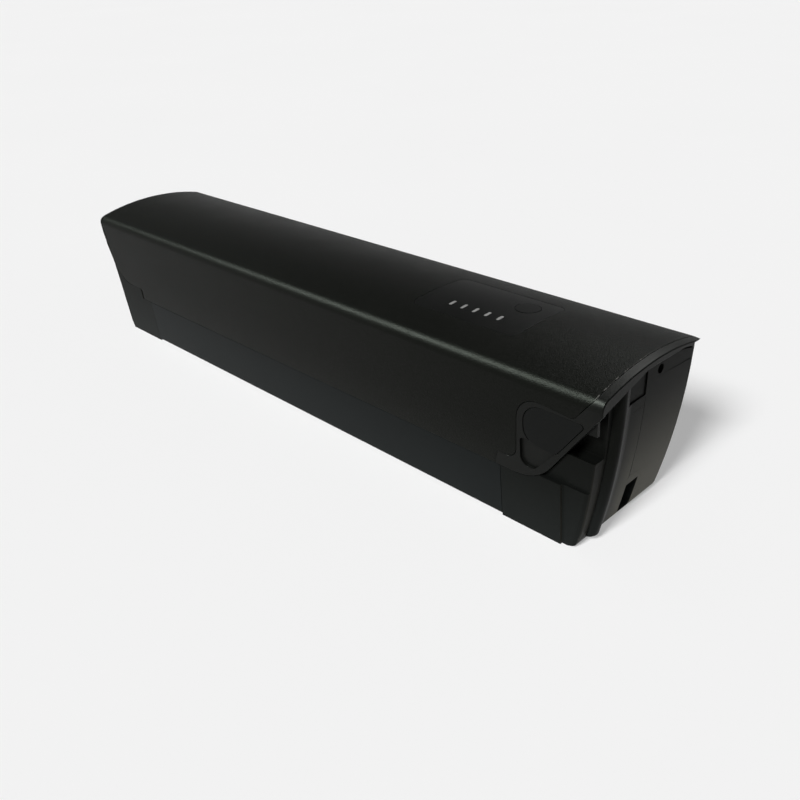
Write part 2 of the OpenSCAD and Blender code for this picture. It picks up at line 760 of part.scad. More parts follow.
module charge_cover() color(rubber_col) {
    intersection() {
        along_x(near_seam, x_near) difference() {
            section_2d(0, 0);
            section_2d(cover_t, -5);
        }
        port_side();
        along_y(-reach, reach) at_near() polygon(cover_outline(0));
        // Thinner towards the fold.
        along_x(near_seam, x_near) polygon([
            [-reach, -reach], [0, -reach], [0, cover_top_z - 7],
            [-half_w(cover_top_z - 7, cover_t + 0.1), cover_top_z - 7],
            [-half_w(cover_top_z + 1, fold_t), cover_top_z + 1], [-reach, cover_top_z + 1]]);
    }
    on_port_side(x_near - port_x, port_z) translate([0, 0, cover_t - 0.3]) difference() {
        cylinder(d = socket_d - 1, h = 0.3 + move_gap / 2);
        translate([0, 0, -1]) cylinder(d = socket_d - 3, h = 4);
    }
}

module charge_socket() color(rubber_col) on_port_side(x_near - port_x, port_z) difference() {
    union() {
        translate([0, 0, cover_t + 0.2 + move_gap])
            cylinder(d = socket_d + 3.8, h = well_depth - cover_t - 0.2 - move_gap);
        translate([0, 0, cover_t + 1]) cylinder(d = socket_d, h = 16);
    }
    translate([0, 0, -1]) cylinder(d = socket_bore_d, h = cover_t + 14);
    cylinder(d = 2.3, h = 30);
}

module charge_pin() color(metal_col) on_port_side(x_near - port_x, port_z) translate([0, 0, cover_t + 2.4])
    cylinder(d = 2.1, h = 18);

module charge_nut() color(metal_col) on_port_side(x_near - port_x, port_z)
translate([0, 0, port_t]) difference() {
    cylinder(d = socket_d + 5.4, h = 3, $fn = 6);
    translate([0, 0, -1]) cylinder(d = socket_d + 0.1, h = 5);
}

/* Indicator. */

module indicator_panel() color(body_col) intersection() {
    along_x(panel_cx - panel_l, panel_cx + panel_l) difference() {
        section_2d(0.05, 0);
        section_2d(panel_t, -5);
    }
    translate([0, 0, pack_h / 2]) linear_extrude(pack_h) difference() {
        panel_2d(0);
        for (x = led_x) translate([x, led_y]) lamp_2d(0);
        translate([button_x, button_y]) circle(d = button_d);
    }
}

module light_windows() color([0.8, 0.8, 0.78]) intersection() {
    translate([0, 0, board_top + led_h + 0.1]) linear_extrude(pack_h)
        for (x = led_x) translate([x, led_y]) lamp_2d(-0.08);
    along_x(panel_cx - panel_l, panel_cx + panel_l) section_2d(0.1, 0);
}

module power_button() color(rubber_col) {
    intersection() {
        translate([button_x, button_y, button_z0]) cylinder(d = button_d - 2 * move_gap, h = 12);
        along_x(panel_cx - panel_l, panel_cx + panel_l) section_2d(0, 0);
    }
    intersection() {
        translate([button_x, button_y, button_z0]) cylinder(d = button_d + 2, h = 12);
        along_x(panel_cx - panel_l, panel_cx + panel_l) section_2d(panel_t + move_gap, 0);
    }
}

module switch_plunger() color([0.2, 0.2, 0.2])
    translate([button_x, button_y, button_z0 - 2.2]) cylinder(d = 3.2, h = 2.2);

module switch_body() color([0.1, 0.1, 0.1]) translate([button_x, button_y, board_top]) difference() {
    translate([-3, -3, 0]) cube([6, 6, switch_h]);
    translate([0, 0, 1]) cylinder(d = 3.8, h = switch_h);
}

module indicator_board() color(board_col) difference() {
    slab(panel_cx - board_l / 2, panel_cx + board_l / 2, -board_w / 2, board_w / 2,
        board_top - board_t, board_top);
    for (x = post_x) for (y = post_y) translate([x, y, board_top - 5])
        cylinder(d = small_screw_d + 0.2, h = 9);
}

module indicator_lamps() color([0.9, 0.9, 0.7]) for (x = led_x)
    slab(x - 0.8, x + 0.8, led_y - 1.5, led_y + 1.5, board_top, board_top + led_h);

module indicator_screws() color(metal_col) for (x = post_x) for (y = post_y)
    translate([x, y, board_top - board_t - 1.2]) {
        cylinder(d = 3.8, h = 1.2);
        cylinder(d = small_screw_d, h = board_t + 4.4);
    }

/* Cell block. */

module cell(col, row) translate([block_x0 + (col + 0.5) * pitch, 0, block_z0 + (row + 0.5) * pitch])
    rotate([90, 0, 180 * (col % 2)]) {
        translate([0, 0, -cell_l / 2]) cylinder(d = cell_d, h = cell_l - 0.8);
        translate([0, 0, cell_l / 2 - 1]) cylinder(d = 6, h = 1);
    }

// Cells of one group, counted upwards column by column.
module cell_group(i) color([0.12, 0.3, 0.5])
    for (k = [floor(i * cell_count / cell_groups):floor((i + 1) * cell_count / cell_groups) - 1])
        cell(floor(k / cell_rows), k % cell_rows);

module cell_group_01() cell_group(0);
module cell_group_02() cell_group(1);
module cell_group_03() cell_group(2);
module cell_group_04() cell_group(3);
module cell_group_05() cell_group(4);
module cell_group_06() cell_group(5);
module cell_group_07() cell_group(6);
module cell_group_08() cell_group(7);
module cell_group_09() cell_group(8);
module cell_group_10() cell_group(9);
module cell_group_11() cell_group(10);
module cell_group_12() cell_group(11);
module cell_group_13() cell_group(12);

module cell_grid() for (col = [0:cell_cols - 1]) for (row = [0:cell_rows - 1])
    translate([block_x0 + (col + 0.5) * pitch, block_z0 + (row + 0.5) * pitch]) children();

module holder() {
    along_y(cell_l / 2, holder_y) difference() {
        translate([block_x0, block_z0]) square([block_l, block_h]);
        cell_grid() circle(d = weld_d);
    }
    along_y(cell_l / 2 - holder_grip, cell_l / 2 + 0.01) difference() {
        translate([block_x0, block_z0]) square([block_l, block_h]);
        cell_grid() circle(d = cell_bore_d);
    }
}

module holder_plain_side() color([0.15, 0.15, 0.15]) holder();

module holder_port_side() color([0.15, 0.15, 0.15]) mirror([0, 1, 0]) holder();

// One strip over the columns first to last, pressed in to each cell.
module strip(first, last) {
    along_y(holder_y, sheet_y) translate([block_x0 + first * pitch + 1, block_z0 + 2])
        square([(last - first + 1) * pitch - 2, block_h - 4]);
    along_y(cell_l / 2, holder_y + 0.01) for (col = [first:last]) for (row = [0:cell_rows - 1])
        translate([block_x0 + (col + 0.5) * pitch, block_z0 + (row + 0.5) * pitch]) circle(d = tab_d);
}

module strips_plain_side() color(metal_col) {
    strip(0, 0);
    for (i = [1:2:cell_cols - 1]) strip(i, min(i + 1, cell_cols - 1));
}

module strips_port_side() color(metal_col) mirror([0, 1, 0]) {
    for (i = [0:2:cell_cols - 1]) strip(i, min(i + 1, cell_cols - 1));
}

module sheet() along_y(sheet_y, sheet_y + sheet_t)
    translate([block_x0, block_z0]) square([block_l, block_h]);

module sheet_plain_side() color([0.75, 0.7, 0.45]) sheet();

module sheet_port_side() color([0.75, 0.7, 0.45]) mirror([0, 1, 0]) sheet();

module pad_bottom() color([0.25, 0.25, 0.25])
    slab(block_x0 + 1, block_x0 + block_l - 1, -holder_y + 1, holder_y - 1, floor_z, block_z0);

module pad_top() color([0.25, 0.25, 0.25])
    slab(block_x0 + 1, min(block_x0 + block_l, panel_cx - board_l / 2) - 1,
        -holder_y + 2, holder_y - 2, block_top, block_top + pad_t);

/* Control board. */

module control_board() color(board_col) difference() {
    slab(bms_x0, bms_x1, -bms_w / 2, bms_w / 2, bms_z, bms_top);
    for (x = bms_post_x) for (y = bms_post_y) translate([x, y, bms_z - 1])
        cylinder(d = small_screw_d + 0.2, h = 9);
}

module control_screws() color(metal_col)
for (x = bms_post_x) for (y = bms_post_y) translate([x, y, bms_top]) {
    cylinder(d = 3.8, h = 1.2);
    translate([0, 0, -bms_t - 5]) cylinder(d = small_screw_d, h = bms_t + 5.1);
}

module control_switches() color([0.1, 0.1, 0.1]) for (i = [-2:2])
    slab(fet_x0, fet_x0 + 9, i * 9.4 - 4, i * 9.4 + 4, bms_top, bms_top + fet_h);

module heat_sink() color([0.7, 0.7, 0.72]) {
    slab(fet_x0 - 1, fet_x0 + 10, -23, 23, bms_top + fet_h, bms_top + fet_h + 2);
    for (i = [0:3])
        slab(fet_x0 - 1 + i * 3, fet_x0 + 0.5 + i * 3, -23, 23, bms_top + fet_h + 1.9, sink_top);
}

module balance_socket() color([0.85, 0.85, 0.8])
    slab(bms_x0 + 1, bms_x0 + 7, -16, 16, bms_top, bms_top + 7);

module balance_ribbon() color([0.6, 0.15, 0.12]) {
    slab(bms_x0 + 2, bms_x0 + 6, -13, 13, bms_top + 7, bms_top + 8.2);
    slab(bms_x0 + 2, bms_x0 + 3.2, -13, 13, bms_top + 8.1, bms_top + 46);
    slab(block_x0 + block_l, bms_x0 + 3.2, -13, 13, bms_top + 44.8, bms_top + 46);
}

module fuse_holder() color([0.15, 0.15, 0.15]) difference() {
    slab(bms_x0 + 10, bms_x0 + 19, -10, 10, bms_top, bms_top + 8);
    slab(bms_x0 + 13, bms_x0 + 16, -8, 8, bms_top + 3, bms_top + 9);
}

module fuse_blade() color([0.75, 0.45, 0.1])
    slab(bms_x0 + 13.1, bms_x0 + 15.9, -7.9, 7.9, bms_top + 3, bms_top + 12);

/* Leads, each one tube swept along a route with rounded bends. */

bend_steps = 4;
wire_sides = 8;

// Route through the corner points, each bend a short curve that starts r before its corner.
function bent(pts, r) = concat([pts[0]],
    [for (i = [1:len(pts) - 2])
        let (
            a = pts[i] + unit(pts[i - 1] - pts[i]) * min(r, norm(pts[i - 1] - pts[i]) * 0.45),
            b = pts[i] + unit(pts[i + 1] - pts[i]) * min(r, norm(pts[i + 1] - pts[i]) * 0.45)
        )
        each [for (k = [0:bend_steps]) let (w = k / bend_steps)
            a * (1 - w) * (1 - w) + pts[i] * 2 * w * (1 - w) + b * w * w]],
    [pts[len(pts) - 1]]);

// Direction of the route at point i.
function heading(p, i) = unit(p[min(i + 1, len(p) - 1)] - p[max(i - 1, 0)]);

// Side direction at point i, carried along the route without a twist.
function carried(p, i) =
    i == 0 ? unit(cross(heading(p, 0), abs(heading(p, 0)[1]) < 0.9 ? [0, 1, 0] : [1, 0, 0])) :
    let (s = carried(p, i - 1), h = heading(p, i)) unit(s - h * (s * h));

module wire(corners, d, r = 8) {
    p = bent(corners, r);
    n = wire_sides;
    m = len(p);
    pts = [for (i = [0:m - 1]) let (s = carried(p, i), t = cross(heading(p, i), s)) for (k = [0:n - 1])
        p[i] + d / 2 * (s * cos(360 * k / n) + t * sin(360 * k / n))];
    walls = [for (i = [0:m - 2]) for (k = [0:n - 1])
        each [[i * n + k, i * n + n + k, i * n + (k + 1) % n],
              [i * n + (k + 1) % n, i * n + n + k, i * n + n + (k + 1) % n]]];
    polyhedron(points = pts, faces = concat(walls,
        [[for (k = [0:n - 1]) k]], [[for (k = [n - 1:-1:0]) (m - 1) * n + k]]));
}

lead_z = block_top + pad_t + lead_d / 2;
tail_x = plug_x1 + 6;
module positive_lead() color([0.6, 0.08, 0.06]) wire([
    [tail_x, power_y, plug_z], [tail_x + 6, power_y, plug_z],
    [block_x0 - lead_d / 2 - 0.2, holder_y - 4, plug_z + 14],
    [block_x0 - lead_d / 2 - 0.2, holder_y - 4, block_top - 6]], lead_d);

module negative_lead() color([0.05, 0.05, 0.05]) wire([
    [tail_x, -power_y, plug_z], [tail_x + 6, -power_y, plug_z], [block_x0 - 15, -5, block_top - 6],
    [block_x0 - 8, -5, lead_z], [block_x0 + 60, -5, lead_z], [block_x0 + 110, -27, lead_z],
    [block_x0 + block_l + 4, -27, lead_z], [bms_x0 + 10, -22, lead_z - 30],
    [bms_x0 + 10, -22, bms_top]], lead_d);

module block_lead() color([0.05, 0.05, 0.1]) wire([
    [block_x0 + block_l + lead_d / 2 + 0.1, -holder_y + 4, block_z0 + 50],
    [block_x0 + block_l + lead_d / 2 + 0.1, -holder_y + 4, bms_top + 12],
    [bms_x0 + 6, -bms_w / 2 + 10, bms_top + 6], [bms_x0 + 6, -bms_w / 2 + 10, bms_top]], lead_d);

module charge_leads() color([0.5, 0.1, 0.1]) for (i = [-1, 1]) wire([
    [x_near - port_x + i * 2.6, -half_w(port_z) + cover_t + 17.2, port_z + 1.6],
    [x_near - port_x + i * 2.6, -half_w(port_z) + cover_t + 22, port_z + 1.6],
    [bms_x1 - 8 + i * 2, -10 + i * 2, bms_top + 24], [bms_x1 - 8 + i * 2, -10 + i * 2, bms_top]], thin_d);

module indicator_ribbon() color([0.5, 0.5, 0.5])
    slab(fet_x0 + 13, fet_x0 + 14, 0, 10, bms_top, board_top - board_t);

/* Connector at the closed end. */

module plug_housing() color(rubber_col) difference() {
    union() {
        slab(plug_x0, plug_x1, -plug_w / 2 + 0.1, plug_w / 2 - 0.1,
            plug_z - plug_h / 2 + 0.1, plug_z + plug_h / 2 - 0.1);
        slab(wall_x1 + 0.05, wall_x1 + plug_flange, -plug_w / 2 - 3, plug_w / 2 + 3,
            plug_z - plug_h / 2 - 3, plug_z + plug_h / 2 + 3);
    }
    for (y = [-power_y, power_y]) {
        slab(plug_x0 - 1, plug_x0 + 8, y - 1.5, y + 1.5, plug_z - 4.5, plug_z + 4.5);
        slab(plug_x0, plug_x1 + 1, y - 1.1, y + 1.1, plug_z - 3.6, plug_z + 3.6);
    }
    for (y = signal_y) {
        slab(plug_x0 - 1, plug_x0 + 8, y - 0.8, y + 0.8, plug_z - 2.5, plug_z + 2.5);
        slab(plug_x0, plug_x1 + 1, y - 0.6, y + 0.6, plug_z - 1.6, plug_z + 1.6);
    }
}

module plug_blades() color(copper_col) for (y = [-power_y, power_y])
    slab(plug_x0 + 2, tail_x, y - 1, y + 1, plug_z - 3.5, plug_z + 3.5);

module plug_pins() color(copper_col) for (y = signal_y)
    slab(plug_x0 + 2, plug_x1 + 3, y - 0.5, y + 0.5, plug_z - 1.5, plug_z + 1.5);

/* Seals and screws. */

module seal_port_end() color([0.3, 0.1, 0.08]) seal(near_seam - seal_off);

module seal_connector_end() color([0.3, 0.1, 0.08]) seal(far_seam + seal_off);

module parting_seals() color([0.3, 0.1, 0.08])
for (m = [0, 1]) mirror([0, m, 0]) along_x(far_seam + 1, near_seam - 4)
    polygon([
        [half_w(parting_z + lap_h, lap_t + seam_gap + 0.1), parting_z + lap_h],
        [half_w(parting_z + lap_h, wall - 0.1), parting_z + lap_h],
        [half_w(parting_z + lap_h, wall - 0.1), parting_z + lap_h + seal_h - 0.1],
        [half_w(parting_z + lap_h, lap_t + seam_gap + 0.1), parting_z + lap_h + seal_h - 0.1]]);

module case_screws() color(metal_col) for (x = case_screw_x) for (y = [-case_screw_y, case_screw_y])
    translate([x, y, foot_h + 0.05]) {
        difference() {
            cylinder(d = screw_head_d, h = screw_head_h);
            translate([0, 0, -1]) cylinder(d = 2.4, h = 1.8, $fn = 6);
        }
        cylinder(d = screw_d, h = 11);
    }

top_shell();
lower_case();
port_end_cap();
port_trim_arch();
connector_end_cap();
charge_cover();
charge_socket();
charge_pin();
charge_nut();
indicator_panel();
light_windows();
power_button();
switch_plunger();
switch_body();
indicator_board();
indicator_lamps();
indicator_screws();
cell_group_01();
cell_group_02();
cell_group_03();
cell_group_04();
cell_group_05();
cell_group_06();
cell_group_07();
cell_group_08();
cell_group_09();
cell_group_10();
cell_group_11();
cell_group_12();
cell_group_13();
holder_port_side();
holder_plain_side();
strips_port_side();
strips_plain_side();
sheet_port_side();
sheet_plain_side();
pad_bottom();
pad_top();
control_board();
control_switches();
heat_sink();
control_screws();
balance_socket();
balance_ribbon();
fuse_holder();
fuse_blade();
positive_lead();
negative_lead();
block_lead();
charge_leads();
indicator_ribbon();
plug_housing();
plug_blades();
plug_pins();
seal_port_end();
seal_connector_end();
parting_seals();
case_screws();
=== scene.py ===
import json
import math

import bmesh
import bpy
from mathutils import Matrix, Vector


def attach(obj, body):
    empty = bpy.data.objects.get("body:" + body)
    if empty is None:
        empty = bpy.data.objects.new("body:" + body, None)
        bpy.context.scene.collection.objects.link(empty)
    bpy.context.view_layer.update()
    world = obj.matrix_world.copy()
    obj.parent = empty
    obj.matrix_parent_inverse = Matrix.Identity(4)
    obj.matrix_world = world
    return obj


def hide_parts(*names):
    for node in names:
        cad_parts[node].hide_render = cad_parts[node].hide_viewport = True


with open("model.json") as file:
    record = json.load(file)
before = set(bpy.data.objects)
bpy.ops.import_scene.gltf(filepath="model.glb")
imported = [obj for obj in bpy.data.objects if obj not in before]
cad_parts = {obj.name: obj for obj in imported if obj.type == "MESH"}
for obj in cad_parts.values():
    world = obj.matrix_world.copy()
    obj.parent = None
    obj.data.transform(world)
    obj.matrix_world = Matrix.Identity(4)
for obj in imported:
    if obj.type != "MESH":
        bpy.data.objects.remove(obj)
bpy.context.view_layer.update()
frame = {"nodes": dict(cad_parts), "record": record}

nodes = frame["nodes"]


class Wire:
    """A socket of a shader. Sums and products add Math nodes, and make() adds any other node."""

    def __init__(self, tree, socket):
        self.tree, self.socket = tree, socket

    def make(self, kind, settings=None, inputs=None, out=0):
        node = self.tree.nodes.new("ShaderNode" + kind)
        for key, value in (settings or {}).items():
            setattr(node, key, value)
        for key, value in (inputs or {}).items():
            if isinstance(value, Wire):
                self.tree.links.new(value.socket, node.inputs[key])
            else:
                node.inputs[key].default_value = value
        return Wire(self.tree, node.outputs[out]) if len(node.outputs) else None

    def maths(self, operation, first, second):
        return self.make("Math", {"operation": operation}, {0: first, 1: second})

    def __add__(self, other):
        return self.maths("ADD", self, other)

    def __rsub__(self, other):
        return self.maths("SUBTRACT", other, self)

    def __mul__(self, other):
        return self.maths("MULTIPLY", self, other)

    def __lt__(self, other):
        return self.maths("LESS_THAN", self, other)

    __radd__ = __add__
    __rmul__ = __mul__

    def between(self, low, high):
        """0 below low, 1 above high, and a smooth step from one to the other."""
        smooth = {"interpolation_type": "SMOOTHSTEP"}
        return self.make("MapRange", smooth, {"Value": self, 1: low, 2: high})

    def noise(self, size, detail=3.0, rough=0.55):
        """Cloudy noise on these coordinates, with patches of about that size in metres."""
        return self.make("TexNoise", None, {
            "Vector": self, "Scale": 1 / size, "Detail": detail, "Roughness": rough})

    def cells(self, size):
        """Distance to the nearest of points scattered about that far apart, as a share of it."""
        return self.make("TexVoronoi", None, {"Vector": self, "Scale": 1 / size})

    def stretched(self, x, y, z):
        return self.make("Mapping", None, {"Vector": self, "Scale": (x, y, z)})

    def axis(self, which):
        return self.make("SeparateXYZ", None, {0: self}, "XYZ".index(which))

    def tint(self, first, second):
        """From the first colour to the second as this value goes from 0 to 1."""
        colour = {"data_type": "RGBA"}
        return self.make("Mix", colour, {0: self, 6: paint(first), 7: paint(second)}, 2)


def paint(colour):
    return colour if isinstance(colour, Wire) or len(colour) == 4 else (*colour, 1.0)


def begin(name):
    """A new material and the wire of its object coordinates."""
    made = bpy.data.materials.new(name)
    made.use_nodes = True
    made.node_tree.nodes.clear()
    start = made.node_tree.nodes.new("ShaderNodeTexCoord")
    return made, Wire(made.node_tree, start.outputs["Object"])


def surface(made, place, height=None, depth=0.0, **sockets):
    """Ends a material in a Principled shader. The height is a relief of that depth in metres."""
    inputs = {key.replace("_", " "): value for key, value in sockets.items()}
    inputs["Base Color"] = paint(inputs["Base Color"])
    if height:
        inputs["Normal"] = place.make("Bump", None, {"Distance": depth, "Height": height})
    shader = place.make("BsdfPrincipled", None, inputs)
    place.make("OutputMaterial", None, {"Surface": shader})
    return made


CLOUD_SIZE = 0.045  # metres across a patch of handling marks
HANDLED = 0.05  # how far those marks change the roughness either way
DUST_COLOUR = (0.5, 0.5, 0.48)
SPECK_PITCH, SPECK_SIZE = 0.016, 0.014  # metres, and a share of that pitch
BARE_COLOUR = (0.15, 0.15, 0.14)
RIM_WIDTH, RIM_FOOT, RIM_TOP = 0.0006, 0.084, 0.088  # metres: the chipped rim, along X and in Z


def moulded(name, dark, light, rough, grain, depth, level, dust=0.0, worn=None, low=None, end=None,
            gloss=(1.0, 1.0, 1.0)):
    """Moulded or coated plastic: grain of that size and depth in metres, handling marks and dust.

    level is the specular level and gloss its tint. worn is the X of a chipped rim, low the
    colour of a painted floor reflection that lightens the faces towards the foot, and end
    that of a painted sheen on faces that look along +X, lightest low down and kept off the rib.
    """
    made, place = begin(name)
    fine = place.noise(grain, 2.0, 0.6)
    coarse = place.noise(grain * 3.1, 2.0, 0.5)
    clouds = place.noise(CLOUD_SIZE, 4.0, 0.6)
    grit = fine * 0.7 + coarse * 0.3
    colour = (clouds * 0.6 + grit * 0.4).tint(dark, light)
    roughness = clouds * HANDLED * 2 + fine * 0.1 + (rough - HANDLED - 0.05)
    if dust:
        specks = place.cells(SPECK_PITCH) < SPECK_SIZE
        sparse = place.noise(0.02, 1.0).between(0.5, 0.7)
        colour = (specks * sparse * dust).tint(colour, DUST_COLOUR)
    if worn:
        rim = (place.axis("X").between(worn, worn + RIM_WIDTH)
               * place.axis("Z").between(RIM_FOOT, RIM_TOP))
        port_side = 1 - place.axis("Y").between(-0.004, 0.02) * 0.8
        chips = place.noise(0.0016, 3.0, 0.7).between(0.47, 0.66) * port_side
        colour = (rim * chips).tint(colour, BARE_COLOUR)
    # The mottled strength of the painted floor reflection and of the painted end-face sheen below.
    film = clouds * 0.5 + grit * 0.2 + 0.65
    # Painted floor reflection: the low colour lightens the faces towards the foot.
    if low:
        foot = 1 - place.axis("Z").between(-0.01, 0.06)
        colour = (foot * film).tint(colour, low)
    # Painted sheen: faces that look along +X are lightened towards the bottom, standing in for the
    # floor's reflection. The sheen is left off the rib and fades in beside it as painted shade of
    # the rib, with a fifth of it on the strip outside the rib.
    if end:
        normal = Wire(place.tree, place.socket.node.outputs["Normal"])
        facing = normal.axis("X").between(0.7, 0.95)
        across = place.axis("Y")
        painted_sheen_across = across.between(-0.02, -0.004) + (1 - across.between(-0.031, -0.029)) * 0.2
        height = 1 - place.axis("Z").between(-0.005, 0.08)
        colour = (facing * painted_sheen_across * height * film).tint(colour, end)
    return surface(made, place, grit, depth, Base_Color=colour, Roughness=roughness,
                   Specular_IOR_Level=level, Specular_Tint=paint(gloss))


def metal(name, colour, shade, rough, along):
    """Plated or drawn metal with fine lines along one axis."""
    made, place = begin(name)
    pulled = place.stretched(*[0.06 if axis == along else 1.0 for axis in "XYZ"])
    lines = pulled.noise(0.00025, 3.0, 0.6)
    stains = place.noise(0.006, 4.0, 0.6)
    return surface(made, place, lines, 0.000012, Base_Color=stains.tint(colour, shade),
                   Metallic=1.0, Roughness=lines * 0.18 + stains * 0.12 + (rough - 0.15))


def lead_sleeve(name, colour, shade):
    """Soft insulation with a faint pull along its length and dull scuffs."""
    made, place = begin(name)
    pull = place.stretched(0.15, 0.15, 1.0).noise(0.0006, 3.0, 0.6)
    scuffs = place.noise(0.004, 4.0, 0.65)
    return surface(made, place, pull, 0.00003, Base_Color=scuffs.tint(colour, shade),
                   Roughness=scuffs * 0.2 + 0.42, Specular_IOR_Level=0.4)


def circuit(name):
    """Green solder mask over square runs of copper, with tinned dots."""
    made, place = begin(name)
    runs = place.make("TexBrick", {"offset": 0.37, "squash": 1.6}, {
        "Vector": place, "Scale": 1.0, "Mortar Size": 0.00035, "Brick Width": 0.0062,
        "Row Height": 0.0023, "Color1": (0, 0, 0, 1), "Color2": (0, 0, 0, 1),
        "Mortar": (1, 1, 1, 1)}, 1)
    dots = place.cells(0.0055) < 0.11
    haze = place.noise(0.01, 3.0)
    mask = runs.tint((0.016, 0.085, 0.035), (0.035, 0.17, 0.07))
    colour = dots.tint(mask, (0.62, 0.61, 0.57))
    return surface(made, place, runs + dots, 0.00004, Base_Color=colour, Metallic=dots,
                   Roughness=haze * 0.15 + 0.24)


RING_FROM, RING_FULL = 0.0305, 0.0312  # metres from the middle: where the pale rings start


def cell_sleeves():
    """Blue heat-shrink over the cells, with pale insulating rings at both ends."""
    made, place = begin("cell_sleeve_blue")
    across = place.axis("Y")
    ends = (across * across).between(RING_FROM ** 2, RING_FULL ** 2)
    creases = place.stretched(1.0, 0.25, 1.0).noise(0.0016, 3.0, 0.5)
    sleeve = creases.tint((0.02, 0.10, 0.25), (0.03, 0.15, 0.36))
    colour = ends.tint(sleeve, (0.72, 0.74, 0.72))
    return surface(made, place, creases, 0.00005, Base_Color=colour,
                   Roughness=creases * 0.2 + 0.22, Coat_Weight=0.3, Coat_Roughness=0.15)


def fibre_sheet():
    """Pressed insulating paper with short fibres."""
    made, place = begin("insulating_paper")
    fibres = place.stretched(1.0, 1.0, 0.2).noise(0.0005, 4.0, 0.7)
    blotch = place.noise(0.012, 3.0)
    colour = (fibres * 0.6 + blotch * 0.4).tint((0.42, 0.36, 0.2), (0.66, 0.6, 0.38))
    return surface(made, place, fibres, 0.00006, Base_Color=colour, Roughness=fibres * 0.15 + 0.7)


def foam_pad():
    """Closed-cell foam with fine pores."""
    made, place = begin("grey_foam")
    pores = place.cells(0.0009)
    shade = place.noise(0.01, 2.0)
    colour = (pores * 0.7 + shade * 0.3).tint((0.06, 0.06, 0.06), (0.2, 0.2, 0.2))
    return surface(made, place, pores, 0.0003, Base_Color=colour, Roughness=pores * 0.1 + 0.82)


RIDGE_SCALE = 0.0064  # metres: gives the wave texture ridges about 2 mm apart


def ribbon_lines():
    """Flat ribbon whose conductors show as fine ridges."""
    made, place = begin("ribbon_insulation")
    ridges = place.make("TexWave", {"bands_direction": "Y"}, {
        "Vector": place, "Scale": 1 / RIDGE_SCALE, "Distortion": 0.0}, 1)
    wear = place.noise(0.003, 3.0)
    colour = (ridges * 0.5 + wear * 0.5).tint((0.13, 0.13, 0.14), (0.34, 0.33, 0.33))
    return surface(made, place, ridges, 0.0002, Base_Color=colour, Roughness=wear * 0.2 + 0.4)


def frosted_window():
    """Frosted light guide: pale, with a fine ground face."""
    made, place = begin("frosted_window")
    ground = place.noise(0.0004, 3.0, 0.6)
    depth = place.noise(0.002, 2.0)
    colour = depth.tint((0.17, 0.17, 0.165), (0.24, 0.24, 0.235))
    return surface(made, place, ground, 0.00002, Base_Color=colour, Roughness=ground * 0.2 + 0.3,
                   Specular_IOR_Level=0.4)


def black(name, dark, light, **finish):
    """Dark plastic whose two shades are given in thousandths of full white."""
    return moulded(name, *(tuple(round(v / 1000, 6) for v in shade) for shade in (dark, light)),
                   **finish)


